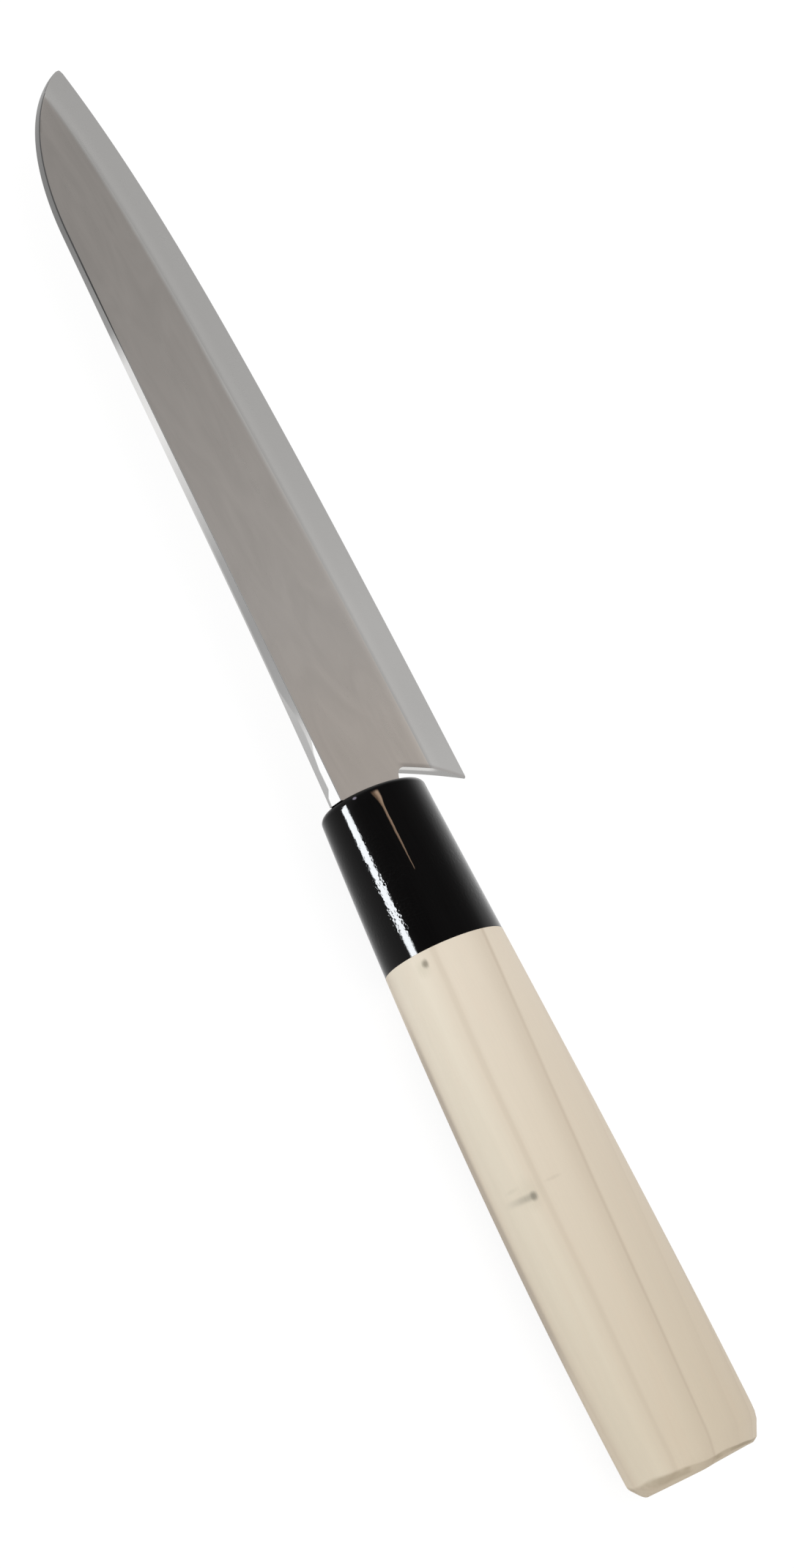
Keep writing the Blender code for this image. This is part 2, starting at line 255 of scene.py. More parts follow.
def grip_section(x, inset=0.0):
    return [grip_point(x, angle, inset) for angle in grip_angles()]


def chamfer_size(angle):
    """Length and depth of the butt's hand-cut chamfer, whose length waves a little round the grip."""
    width = ((1 + math.cos(angle - WIDE_ANGLE)) / 2) ** CHAMFER_FALL
    wave = 1 + sum(size * math.sin(count * angle + phase) for size, count, phase in CHAMFER_WAVES)
    length = (CHAMFER_NARROW[0] + (CHAMFER_WIDE[0] - CHAMFER_NARROW[0]) * width) * wave
    return length, CHAMFER_NARROW[1] + (CHAMFER_WIDE[1] - CHAMFER_NARROW[1]) * width


def butt_section(share_length, share_depth):
    ring = []
    for angle in grip_angles():
        length, depth = chamfer_size(angle)
        ring.append(grip_point(BUTT_X + length * share_length, angle, depth * share_depth))
    return ring


def mark_cut(mesh):
    """Store how far down the butt's chamfer each point is, as a share of the chamfer's length."""
    shares = []
    for vertex in mesh.vertices:
        x, y, z = (a - b for a, b in zip(vertex.co, ORIGIN))
        length = chamfer_size(math.atan2(z, y))[0]
        shares.append(min(max(1 - (x - BUTT_X) / length, 0.0), 1.0))
    mesh.attributes.new("cut", "FLOAT", "POINT").data.foreach_set("value", shares)


def slant(piece):
    """Cut the butt a little short on the side opposite the wide chamfer."""
    for vertex in piece.data.vertices:
        x, y, z = (a - b for a, b in zip(vertex.co, ORIGIN))
        across = -math.sin(WIDE_ANGLE) * z - math.cos(WIDE_ANGLE) * y
        last = max(0.0, 1 - (x - BUTT_X) / CUT_SLANT_LENGTH)
        vertex.co.x += CUT_SLANT * ease((across - CUT_SLANT_START) / CUT_SLANT_REACH) * last


def bar_section(x, half_height, half_thickness):
    cut = min(TANG_CHAMFER, half_thickness / 3)
    quarter = [(half_height - cut, half_thickness), (half_height, half_thickness - cut)]
    ring = quarter + [(y, -z) for y, z in reversed(quarter)]
    ring += [(-y, z) for y, z in reversed(ring)]
    return [(x, y, z) for y, z in ring]


def taper(front_x, rear_x, extra):
    """The tang's two end sections, made larger all round by extra."""
    rings = []
    for x in (front_x, rear_x):
        share = min(max(x / TANG_END_X, 0.0), 1.0)
        half_height = TANG_FRONT[0] + (TANG_REAR[0] - TANG_FRONT[0]) * share
        half_thickness = TANG_FRONT[1] + (TANG_REAR[1] - TANG_FRONT[1]) * share
        rings.append(bar_section(x, half_height + extra, half_thickness + extra))
    return rings


# Mesh tools

def loft(name, rings, regions=None, levels=None):
    """Closed mesh skinned over equal rings; regions or levels give each strip's material slot."""
    bm = bmesh.new()
    loops = [[bm.verts.new([a + b for a, b in zip(point, ORIGIN)]) for point in ring] for ring in rings]
    count = len(loops[0])
    for step, (front, rear) in enumerate(zip(loops, loops[1:])):
        for i in range(count):
            j = (i + 1) % count
            face = bm.faces.new((front[i], front[j], rear[j], rear[i]))
            if regions:
                face.material_index = regions[i]
            if levels:
                face.material_index = levels[step]
    for cap in (list(reversed(loops[0])), loops[-1]):
        face = bm.faces.new(cap)
        if regions:
            face.material_index = HEEL
    bmesh.ops.recalc_face_normals(bm, faces=bm.faces)
    mesh = bpy.data.meshes.new(name)
    bm.to_mesh(mesh)
    bm.free()
    piece = bpy.data.objects.new(name, mesh)
    bpy.context.scene.collection.objects.link(piece)
    return piece


def carve(piece, *steps):
    """Apply each boolean step in turn, then remove its tool."""
    for operation, tool in steps:
        modifier = piece.modifiers.new("carve", "BOOLEAN")
        modifier.operation = operation
        modifier.solver = "EXACT"
        modifier.object = tool
        graph = bpy.context.evaluated_depsgraph_get()
        mesh = bpy.data.meshes.new_from_object(piece.evaluated_get(graph))
        piece.modifiers.clear()
        piece.data = mesh
        bpy.data.objects.remove(tool)


def smooth(piece, angle):
    """Smooth shading, kept sharp where faces meet at more than angle, in degrees."""
    piece.data.shade_smooth()
    piece.data.set_sharp_from_angle(angle=math.radians(angle))
    weighted = piece.modifiers.new("even_shading", "WEIGHTED_NORMAL")
    weighted.keep_sharp = True


def round_corner(before, corner, after, radius, steps):
    """Points of the arc that rounds a corner between two neighbours."""
    corner = np.asarray(corner)
    back = (np.asarray(before) - corner) / np.linalg.norm(np.asarray(before) - corner)
    ahead = (np.asarray(after) - corner) / np.linalg.norm(np.asarray(after) - corner)
    half = math.acos(float(back @ ahead)) / 2
    inward = (back + ahead) / np.linalg.norm(back + ahead)
    centre = corner + inward * radius / math.sin(half)
    start = corner + back * radius / math.tan(half) - centre
    end = corner + ahead * radius / math.tan(half) - centre
    first = math.atan2(start[1], start[0])
    turn = math.atan2(start[0] * end[1] - start[1] * end[0], float(start @ end))
    angles = [first + turn * step / steps for step in range(steps + 1)]
    return [(centre[0] + radius * math.cos(a), centre[1] + radius * math.sin(a)) for a in angles]


def notch_tool():
    """Tool that cuts the notch behind the heel and rounds the notch's front edge."""
    far_x = NECK_X - CUT_MARGIN
    heel = bezier(HEEL_CURVE, np.linspace(0, 1, HEEL_SAMPLES)) * MM
    lean = (heel[1][0] - heel[0][0]) / (heel[1][1] - heel[0][1])
    inner = (heel[0][0] + lean * (NECK_BOTTOM_Y - heel[0][1]), NECK_BOTTOM_Y)
    outline = round_corner((far_x, NECK_BOTTOM_Y), inner, heel[0], NECK_FILLET, NECK_FILLET_STEPS)
    outline += [tuple(point) for point in heel[1:-1]]
    ahead = heel[-1][0] + CUT_MARGIN
    along_edge = (ahead, edge_y(ahead))
    outline += round_corner(heel[-2], heel[-1], along_edge, HEEL_TIP_RADIUS, HEEL_TIP_STEPS)
    outline = np.array(outline)
    along = np.gradient(outline, axis=0)
    outward = np.column_stack((-along[:, 1], along[:, 0]))
    outward /= np.linalg.norm(outward, axis=1)[:, None]
    bottom_y = outline[-1][1] - CUT_MARGIN
    front_z = BACK_Z + THICKNESS_CURVE[0] * MM
    levels = [(BACK_Z - CUT_MARGIN, 0.0)]
    for step in range(HEEL_ROUND_STEPS + 1):
        a = HEEL_ROUND_ANGLE * step / HEEL_ROUND_STEPS
        levels.append((front_z - HEEL_ROUND * (1 - math.sin(a)), HEEL_ROUND * (1 - math.cos(a))))
    z, spread = levels[-1]
    levels.append((z + HEEL_OPENING[0], spread + HEEL_OPENING[1]))
    rings = []
    for z, spread in levels:
        ring = [(x, y, z) for x, y in outline + outward * spread]
        ring += [(ring[-1][0], bottom_y, z), (far_x, bottom_y, z), (far_x, ring[0][1], z)]
        rings.append(ring)
    return loft("notch", rings, levels=[HEEL] + [BREAK] * (len(rings) - 2))


# Material graphs

class Graph:
    """Small helper that adds nodes to a material or a world and links them."""

    def __init__(self, tree):
        self.tree = tree
        tree.nodes.clear()

    def node(self, kind, settings=None, **inputs):
        node = self.tree.nodes.new(kind)
        for key, value in (settings or {}).items():
            setattr(node, key, value)
        for key, value in inputs.items():
            self.put(node.inputs[key.replace("_", " ")], value)
        return node

    def put(self, socket, value):
        if isinstance(value, bpy.types.NodeSocket):
            self.tree.links.new(value, socket)
        else:
            socket.default_value = value

    def math(self, operation, a, b=0.0, c=0.0, clamp=False):
        node = self.node("ShaderNodeMath", {"operation": operation, "use_clamp": clamp})
        for socket, value in zip(node.inputs, (a, b, c)):
            self.put(socket, value)
        return node.outputs[0]

    def add(self, a, b):
        return self.math("ADD", a, b)

    def times(self, a, b):
        return self.math("MULTIPLY", a, b)

    def band(self, value, low, high, soft):
        """1 between low and high, falling to 0 over soft outside them."""
        rise = self.step(value, low - soft, low)
        fall = self.step(value, high + soft, high)
        return self.times(rise, fall)

    def step(self, value, start, end):
        node = self.node("ShaderNodeMapRange", {"interpolation_type": "SMOOTHSTEP"})
        self.put(node.inputs["Value"], value)
        self.put(node.inputs["From Min"], start)
        self.put(node.inputs["From Max"], end)
        return node.outputs["Result"]

    def curve(self, value, points):
        """Value read off straight lines through points of (value, result)."""
        first = points[0][0]
        length = points[-1][0] - first
        share = self.math("MULTIPLY_ADD", value, 1 / length, -first / length)
        ramp = self.node("ShaderNodeValToRGB", Fac=share)
        elements = ramp.color_ramp.elements
        while len(elements) < len(points):
            elements.new(0.5)
        for element, (at, level) in zip(elements, points):
            element.position = (at - first) / length
            element.color = (level, level, level, 1.0)
        return ramp.outputs["Color"]

    def vector(self, operation, a, b=(0.0, 0.0, 0.0)):
        node = self.node("ShaderNodeVectorMath", {"operation": operation})
        self.put(node.inputs[0], a)
        self.put(node.inputs[1], b)
        return node.outputs["Value" if operation in ("DOT_PRODUCT", "LENGTH") else "Vector"]

    def split(self, vector):
        node = self.node("ShaderNodeSeparateXYZ", Vector=vector)
        return node.outputs["X"], node.outputs["Y"], node.outputs["Z"]

    def attribute(self, name):
        return self.node("ShaderNodeAttribute", {"attribute_name": name}).outputs["Fac"]

    def place(self):
        """Position in the knife's own frame, in millimetres."""
        where = self.node("ShaderNodeTexCoord").outputs["Object"]
        return self.vector("MULTIPLY", self.vector("SUBTRACT", where, ORIGIN), (1000.0, 1000.0, 1000.0))

    def noise(self, where, stretch, detail=3.0, roughness=0.55, distortion=0.0):
        """Noise in 0 to 1 at a position scaled by stretch."""
        node = self.node("ShaderNodeTexNoise", {"noise_dimensions": "3D"})
        self.put(node.inputs["Vector"], self.vector("MULTIPLY", where, stretch))
        node.inputs["Scale"].default_value = 1.0
        node.inputs["Detail"].default_value = detail
        node.inputs["Roughness"].default_value = roughness
        node.inputs["Distortion"].default_value = distortion
        return node.outputs["Fac"]

    def cells(self, where, stretch):
        """Rounded cells, 0 in the middle of each and about 0.3 where they meet."""
        settings = {"voronoi_dimensions": "3D", "feature": "F1"}
        node = self.node("ShaderNodeTexVoronoi", settings, Scale=1.0)
        self.put(node.inputs["Vector"], self.vector("MULTIPLY", where, stretch))
        return self.math("POWER", node.outputs["Distance"], 2.0)

    def centred(self, value, amount):
        """Value in 0 to 1, turned into one between -amount and amount."""
        return self.math("MULTIPLY_ADD", value, 2 * amount, -amount)

    def tint(self, colour, factor, other):
        """Colour, mixed toward the other one by factor."""
        node = self.node("ShaderNodeMix", {"data_type": "RGBA"})
        self.put(node.inputs[0], factor)
        self.put(node.inputs[6], colour)
        self.put(node.inputs[7], other)
        return node.outputs[2]

    def shade(self, colour, factor):
        """Colour, made brighter or darker by factor."""
        node = self.node("ShaderNodeVectorMath", {"operation": "SCALE"})
        self.put(node.inputs[0], colour)
        self.put(node.inputs["Scale"], factor)
        return node.outputs[0]

    def bump(self, height, distance):
        return self.node("ShaderNodeBump", Height=height, Distance=distance).outputs["Normal"]

    def finish(self, colour, roughness, normal, **constants):
        shader = self.node("ShaderNodeBsdfPrincipled")
        self.put(shader.inputs["Base Color"], colour)
        self.put(shader.inputs["Roughness"], roughness)
        self.put(shader.inputs["Normal"], normal)
        for key, value in constants.items():
            shader.inputs[key.replace("_", " ")].default_value = value
        output = self.node("ShaderNodeOutputMaterial")
        self.tree.links.new(shader.outputs[0], output.inputs["Surface"])
        return shader


def new_graph(name):
    material = bpy.data.materials.new(name)
    material.use_nodes = True
    return material, Graph(material.node_tree)


# Directions in which the steel's scratches are ground, in cycles per millimetre, and their depths
LENGTHWISE = (0.10, 9.0, 9.0)
CROSSWISE = (9.0, 0.35, 0.35)
HEELWISE = (9.0, 9.0, 0.8)
EVEN = (4.0, 4.0, 4.0)
FINE_GRAIN = 0.003 * MM
GROUND_GRAIN = 0.004 * MM
COARSE_GRAIN = 0.005 * MM

# Colours of the steel and of its marks, with the painted shade beside the heel, the painted highlight
# beside the ridge and the painted white highlight on the spine's wedge
WARM_STEEL = (0.52, 0.484, 0.452)
COOL_STEEL = (0.555, 0.545, 0.53)
NECK_WARMTH = (0.70, 0.60, 0.51, 1.0)
RIDGE_HIGHLIGHT_GAIN = (0.78, 1.02, 1.20)
HEEL_SHADE_COLOUR = (0.30, 0.27, 0.25, 1.0)
RIDGE_END = (157.4, -5.6, 0.0)
RIDGE_END_MARK = (0.10, 0.10, 0.10, 1.0)
WEDGE_HIGHLIGHT = (0.98, 0.98, 0.98, 1.0)

# Painted reflection brightness of the spine along the knife, on its side beside the flat and on its outer
# side
SPINE_INNER_REFLECTION = (
    (0.0, 0.66), (13.2, 0.66), (16.0, 0.56), (18.8, 0.41), (22.9, 0.36), (36.8, 0.32), (50.9, 0.36),
    (65.1, 0.58), (79.5, 0.78), (94.0, 0.70), (101.3, 0.31), (108.7, 0.28), (123.5, 0.21), (165.0, 0.20),
)
SPINE_OUTER_REFLECTION = (
    (0.0, 0.45), (16.0, 0.46), (28.0, 0.50), (50.9, 0.52), (65.1, 0.60), (79.5, 0.78), (94.0, 0.70),
    (101.3, 0.31), (108.7, 0.28), (123.5, 0.21), (165.0, 0.20),
)
# Painted reflection brightness on the spine's eased edges where they face up, along the knife
EASE_REFLECTION = (
    (0.0, 1.0), (84.0, 1.0), (94.0, 0.80), (98.0, 0.45), (102.0, 0.20), (110.0, 0.20), (118.0, 0.26),
    (165.0, 0.26),
)

# Lines that part the spine's two sides, and the painted white highlight wedge from the rest, as shares of
# its width
SPINE_PARTING = ((10.0, 0.51), (14.0, 0.57), (18.0, 0.50), (24.0, 0.13), (80.0, 0.13))
WEDGE_EDGE = ((0.0, 0.20), (1.6, 0.22), (3.0, 0.48), (7.0, 0.44), (10.0, 0.54), (13.6, 0.93), (20.0, 1.0))


def steel(name, colour, roughness, grain, grain_depth, cloud=0.05, extra=None):
    """Ground stainless steel: grain is the noise stretch of its scratches, in cycles per millimetre."""
    material, g = new_graph(name)
    where = g.place()
    scratches = g.noise(where, grain, 4.0, 0.7)
    deep = g.noise(where, tuple(0.35 * v for v in grain), 2.0, 0.5)
    cloudy = g.noise(where, (0.05, 0.11, 0.11), 4.0, 0.6, 0.6)
    level = g.add(1.0, g.add(g.centred(scratches, 0.05), g.centred(cloudy, cloud)))
    tone = g.shade(colour, level)
    rough = g.add(roughness, g.add(g.centred(scratches, 0.05), g.centred(cloudy, 0.06)))
    if extra:
        tone, rough = extra(g, where, tone, rough)
    height = g.add(g.times(scratches, 0.6), g.times(deep, 0.4))
    g.finish(tone, rough, g.bump(height, grain_depth), Metallic=1.0)
    return material


def painted_heel_shade(g, where, tone):
    """Painted shade: a soft dark line beside where the ground faces roll over into the notch behind the
    heel.
    """
    x, y, _ = g.split(where)
    heel = g.math("MULTIPLY_ADD", y, g.math("MULTIPLY_ADD", y, -0.001875, 0.04081), 6.276)
    near = g.step(g.math("SUBTRACT", x, heel), 1.05, 0.35)
    near = g.times(near, g.step(y, -11.0, -13.5))
    return g.tint(tone, g.times(near, 0.45), HEEL_SHADE_COLOUR)


def ridge_painted_highlight(g, along, above):
    """Painted highlight: how much brighter the flat is made beside the ridge, growing toward the point so
    the ridge looks softly rounded.
    """
    ahead = g.step(along, 40.0, 90.0)
    near = g.times(g.step(above, 0.85, 0.0), g.math("MULTIPLY_ADD", ahead, -0.07, 0.07))
    return g.math("MULTIPLY_ADD", g.times(g.step(above, 1.7, 0.0), ahead), 0.28, near)


def flat_marks(g, where, tone, rough):
    """Brighter and warmer toward the neck, with a painted highlight beside the ridge and a small mark at
    its end.
    """
    along = g.split(where)[0]
    tone = g.shade(tone, g.math("MULTIPLY_ADD", g.step(along, 125.0, 15.0), 0.215, 1.085))
    tone = g.tint(tone, g.times(g.step(along, 42.0, 4.0), 0.35), NECK_WARMTH)
    # Painted highlight beside the ridge, in a cool tint
    highlight_gain = g.vector("MULTIPLY", RIDGE_HIGHLIGHT_GAIN, ridge_painted_highlight(g, along, g.attribute("above_ridge")))
    tone = g.vector("ADD", tone, g.vector("MULTIPLY", tone, highlight_gain))
    swirl = g.noise(where, (0.035, 0.09, 0.09), 3.0, 0.5, 2.5)
    tone = g.shade(tone, g.add(1.0, g.centred(swirl, 0.11)))
    away = g.vector("MULTIPLY", g.vector("SUBTRACT", where, RIDGE_END), (1.0, 1.0, 0.0))
    tone = g.tint(tone, g.times(g.step(g.vector("LENGTH", away), 0.9, 0.2), 0.6), RIDGE_END_MARK)
    return painted_heel_shade(g, where, tone), rough


def bevel_painted_highlight(g, where, tone, rough):
    """The bevel has a painted highlight near the ridge and painted shade just beside it, and is duller at
    the heel.
    """
    above = g.attribute("above_ridge")
    along = g.split(where)[0]
    soft = g.times(g.step(above, -0.4, 0.0), g.step(along, 40.0, 90.0))
    tone = g.shade(tone, g.math("MULTIPLY_ADD", soft, -0.06, 1.0))
    tone = g.shade(tone, g.add(1.05, g.times(g.step(above, -6.0, -0.5), 0.08)))
    tone = g.shade(tone, g.math("MULTIPLY_ADD", g.step(along, 42.0, 12.0), -0.10, 1.0))
    return painted_heel_shade(g, where, tone), rough


def spine_polish_and_painted_reflection(g, where, tone, rough):
    """Satin near the point; its brightness is painted reflection, set along each of its two sides and on
    the eased edges where they face up, grey toward the handle, with a painted white highlight wedge at the
    neck.
    """
    along, _, z = g.split(where)
    # Painted reflection: each side of the spine has its own brightness along the knife
    line = g.math("MULTIPLY_ADD", g.curve(along, SPINE_PARTING), 3.0, -1.5)
    beside = g.step(z, g.add(line, -0.15), g.add(line, 0.15))
    inner = g.times(g.curve(along, SPINE_INNER_REFLECTION), beside)
    outer = g.times(g.curve(along, SPINE_OUTER_REFLECTION), g.math("SUBTRACT", 1.0, beside))
    level = g.add(inner, outer)
    # Painted highlight: a white wedge on the spine at the neck
    line = g.math("MULTIPLY_ADD", g.curve(along, WEDGE_EDGE), 3.0, -1.5)
    wedge = g.times(g.step(z, g.add(line, -0.12), g.add(line, 0.12)), g.step(along, 14.5, 13.5))
    # Painted reflection: eased edges that face up take their own brightness
    normal = g.node("ShaderNodeNewGeometry").outputs["Normal"]
    eased = g.step(g.split(normal)[2], 0.12, 0.35)
    reflection_on_ease = g.curve(along, EASE_REFLECTION)
    level = g.add(level, g.times(eased, g.math("SUBTRACT", reflection_on_ease, level)))
    tone = g.tint(g.shade(tone, level), wedge, WEDGE_HIGHLIGHT)
    rough = g.math("MULTIPLY_ADD", g.step(along, 92.0, 128.0), 0.10, rough)
    return tone, rough


def heel_painted_light(g, where, tone, rough):
    """The heel's wall is painted darker as shade, with a lighter strip along its front edge, under the
    flat, as a painted highlight.
    """
    _, y, z = g.split(where)
    strip = g.times(g.step(z, -0.35, 0.15), g.step(y, -25.0, -21.0))
    return g.tint(g.shade(tone, 0.46), strip, tone), rough


def make_steels():
    slots = {
        BEVEL: steel("steel_bevel", COOL_STEEL, 0.30, CROSSWISE, GROUND_GRAIN, 0.03, bevel_painted_highlight),
        FLAT: steel("steel_flat", WARM_STEEL, 0.30, LENGTHWISE, GROUND_GRAIN, 0.03, flat_marks),
        SPINE: steel("steel_spine", (1.0, 0.992, 0.98), 0.22, LENGTHWISE, FINE_GRAIN, 0.04, spine_polish_and_painted_reflection),
        BACK: steel("steel_back_rim", (0.58, 0.57, 0.55), 0.24, LENGTHWISE, FINE_GRAIN),
        HOLLOW: steel("steel_hollow", (0.53, 0.51, 0.49), 0.32, CROSSWISE, COARSE_GRAIN),
        HEEL: steel("steel_heel", (0.62, 0.61, 0.59), 0.26, HEELWISE, GROUND_GRAIN, 0.05, heel_painted_light),
        # The heel's rounded break gets a near-black steel colour: painted shade on that edge
        BREAK: steel("steel_heel_break_painted_shade", (0.15, 0.135, 0.125), 0.34, EVEN, GROUND_GRAIN),
    }
    return [slots[index] for index in range(len(slots))]


# Direction across the grip's right flank, from its upper to its lower side
ACROSS_FLANK = (0.0, -0.64, 0.77)

# The ferrule's horn, the two sides of its brown streak, and a painted reflection, a small glint, on its rim
HORN_BLACK = (0.0030, 0.0027, 0.0027)
HORN_BROWN = ((0.10, 0.062, 0.040, 1.0), (0.34, 0.235, 0.165, 1.0))
PAINTED_RIM_GLINT = (-1.0, 10.42, 3.93)
PAINTED_RIM_GLINT_SIZE = (0.3, 0.4, 0.5)
PAINTED_RIM_GLINT_COLOUR = (0.34, 0.30, 0.37, 1.0)

# Strength of the crazing along the ferrule, and its specular level across the flank
HORN_CRAZING = (
    (-34.0, 0.05), (-28.0, 0.10), (-26.5, 0.70), (-22.5, 0.85), (-21.0, 0.35), (-19.0, 0.35), (-18.0, 0.90),
    (-16.2, 0.90), (-15.2, 0.35), (-10.0, 0.30), (-9.0, 0.60), (-8.0, 0.20), (-6.0, 0.08), (0.0, 0.05),
)
HORN_GLOSS = (
    (-10.0, 0.13), (-8.5, 0.11), (-7.0, 0.09), (0.0, 0.09), (3.0, 0.06), (5.9, 0.09), (6.8, 0.13),
    (8.2, 0.34), (12.0, 0.38),
)


def horn_streak(g, where):
    """The brown streak behind the rim: how strongly it shows, and its distance from its own middle."""
    along, y, z = g.split(where)
    centre = g.math("MULTIPLY_ADD", along, -0.0415, 6.87)
    centre = g.math("MULTIPLY_ADD", g.step(along, -3.5, -1.0), -0.18, centre)
    across = g.math("SUBTRACT", z, centre)
    across = g.add(across, g.centred(g.noise(where, (0.5, 0.2, 0.2), 3.0), 0.07))
    half = g.math("MULTIPLY_ADD", g.step(along, -18.5, -8.0), 0.09, 0.04)
    half = g.math("MULTIPLY_ADD", g.step(along, -5.0, -1.2), 0.30, half)
    inside = g.step(g.math("DIVIDE", g.math("ABSOLUTE", across), half), 1.25, 0.65)
    front = g.times(g.band(along, -17.0, -1.7, 0.7), g.step(y, 3.0, 5.0))
    return g.times(inside, front), across


def make_horn():
    """Polished black horn: faint fibres, a brown streak behind the rim, a finely crazed polish and a small
    painted reflection on the rim.
    """
    material, g = new_graph("black_horn")
    where = g.place()
    along = g.split(where)[0]
    fibres = g.noise(where, (0.06, 2.2, 2.2), 4.0, 0.65)
    base = g.shade(HORN_BLACK, g.add(0.7, g.times(fibres, 0.6)))
    streak, across = horn_streak(g, where)
    grain = g.noise(where, (0.25, 7.0, 7.0), 3.0)
    brown = g.tint(HORN_BROWN[0], g.step(across, -0.25, 0.25), HORN_BROWN[1])
    brown = g.shade(brown, g.add(0.75, g.times(grain, 0.5)))
    strength = g.times(streak, g.math("MULTIPLY_ADD", g.step(along, -18.0, -2.0), 0.3, 0.65))
    colour = g.tint(base, strength, brown)
    rough = g.add(0.040, g.add(g.times(fibres, 0.05), g.times(streak, 0.10)))
    middle = g.band(along, -24.0, -9.0, 4.0)
    ripple = g.noise(where, (0.9, 1.3, 1.3), 2.0, 0.5)
    ripple = g.times(ripple, g.math("MULTIPLY_ADD", middle, 0.25, 0.25))
    crazing = g.times(g.cells(where, (2.1, 2.4, 2.4)), g.curve(along, HORN_CRAZING))
    height = g.add(g.add(ripple, crazing), g.times(fibres, 0.25))
    gloss = g.curve(g.vector("DOT_PRODUCT", where, ACROSS_FLANK), HORN_GLOSS)
    # Painted reflection: a small pale glint on the rim
    away = g.vector("DIVIDE", g.vector("SUBTRACT", where, PAINTED_RIM_GLINT), PAINTED_RIM_GLINT_SIZE)
    painted_glint = g.times(g.step(g.vector("LENGTH", away), 1.1, 0.4), 0.6)
    colour = g.tint(colour, painted_glint, PAINTED_RIM_GLINT_COLOUR)
    shader = g.finish(colour, rough, g.bump(height, 0.03 * MM))
    g.put(shader.inputs["Specular IOR Level"], gloss)
    return material


# The wood's colours at the ferrule and at the butt, and those of its marks; the gain is painted bounce
# light on the grip's spine side, and the under side's colour is painted shade
WOOD_COLOUR = ((0.714, 0.624, 0.506, 1.0), (0.606, 0.515, 0.393, 1.0))
WOOD_BLUSH = ((0.74, 0.61, 0.49, 1.0), (0.63, 0.50, 0.37, 1.0))
SPINE_SIDE_BOUNCE_GAIN = (1.08, 1.13, 1.15, 1.0)
LATE_WOOD = (0.50, 0.41, 0.31, 1.0)
SMEAR_COLOUR = (0.22, 0.20, 0.16, 1.0)
UNDER_SIDE_SHADE = (0.33, 0.27, 0.21, 1.0)
CUT_COLOUR = (0.27, 0.21, 0.13, 1.0)

# Growth rings: place across the rings, reach, strength of the soft side and of the crisp line
WOOD_RINGS = (
    (-23.0, 3.0, 0.05, 0.06), (-18.5, 2.0, 0.04, 0.10), (-15.05, 1.2, 0.06, 0.12),
    (-13.28, 2.4, 0.17, 0.16), (-5.99, 4.0, 0.30, 0.30), (2.5, 3.0, 0.10, 0.04), (10.0, 3.0, 0.2, 0.1),
    (15.0, 2.5, 0.2, 0.1),
)

# Knots and stains: place, reach, strength and colour
WOOD_SPOTS = (
    ((-34.4, 13.2, 2.9), (1.9, 1.2, 1.6), 0.16, (0.42, 0.40, 0.28, 1.0)),
    ((-33.85, 12.91, 3.67), (0.95, 0.72, 0.72), 0.68, (0.15, 0.13, 0.09, 1.0)),
    ((-76.2, 15.0, 0.6), (0.5, 0.9, 1.6), 0.12, (0.30, 0.27, 0.20, 1.0)),
    ((-77.2, 11.8, 7.4), (0.4, 1.8, 1.9), 0.14, (0.30, 0.26, 0.19, 1.0)),
    ((-78.0, 14.4, 3.4), (3.4, 2.6, 2.6), 0.16, (0.42, 0.38, 0.28, 1.0)),
    ((-78.6, 14.33, 3.89), (1.0, 0.76, 0.76), 0.62, (0.13, 0.12, 0.09, 1.0)),
)


def ring_lines(g, where):
    """Distance across the growth rings, in millimetres, bent a little along the grain."""
    across = g.vector("DOT_PRODUCT", where, (0.0, -0.999, 0.039))
    along = g.add(g.split(where)[0], 84.9)
    drift = g.times(along, g.math("MULTIPLY_ADD", along, -0.000569, -0.08433))
    spread = g.math("MULTIPLY_ADD", along, 0.00582, 1.0)
    wander = g.centred(g.noise(where, (0.03, 0.05, 0.05), 2.0), 0.20)
    return g.add(g.math("DIVIDE", g.add(across, drift), spread), wander)


def wood_grain(g, where, fibres, cloudy):
    """Colour of the sanded wood: darker toward the butt, with painted bounce light lifting the spine side
    and growth rings.
    """
    along = g.split(where)[0]
    rings = ring_lines(g, where)
    level = g.add(1.0, g.add(g.centred(fibres, 0.03), g.centred(cloudy, 0.03)))
    rearward = g.math("MULTIPLY_ADD", along, -1 / 87, -38 / 87, clamp=True)
    colour = g.tint(WOOD_COLOUR[0], rearward, WOOD_COLOUR[1])
    blush = g.noise(where, (0.06, 0.5, 0.5), 3.0, 0.6)
    blushed = g.tint(WOOD_BLUSH[0], rearward, WOOD_BLUSH[1])
    colour = g.shade(g.tint(colour, g.times(g.step(blush, 0.45, 0.75), 0.20), blushed), level)
    # Painted bounce light: the grip's spine side is made paler and cooler beyond this ring line
    pale = g.tint(WHITE, g.step(rings, -13.0, -16.5), SPINE_SIDE_BOUNCE_GAIN)
    colour = g.vector("MULTIPLY", colour, pale)
    for centre, reach, soft, crisp in WOOD_RINGS:
        ring = g.times(g.step(rings, centre - reach, centre), g.step(rings, centre + 0.7, centre))
        line = g.band(rings, centre - 0.16, centre + 0.04, 0.32)
        strength = g.add(g.times(ring, soft), g.times(line, g.times(cloudy, 2 * crisp)))
        colour = g.tint(colour, strength, LATE_WOOD)
    return colour


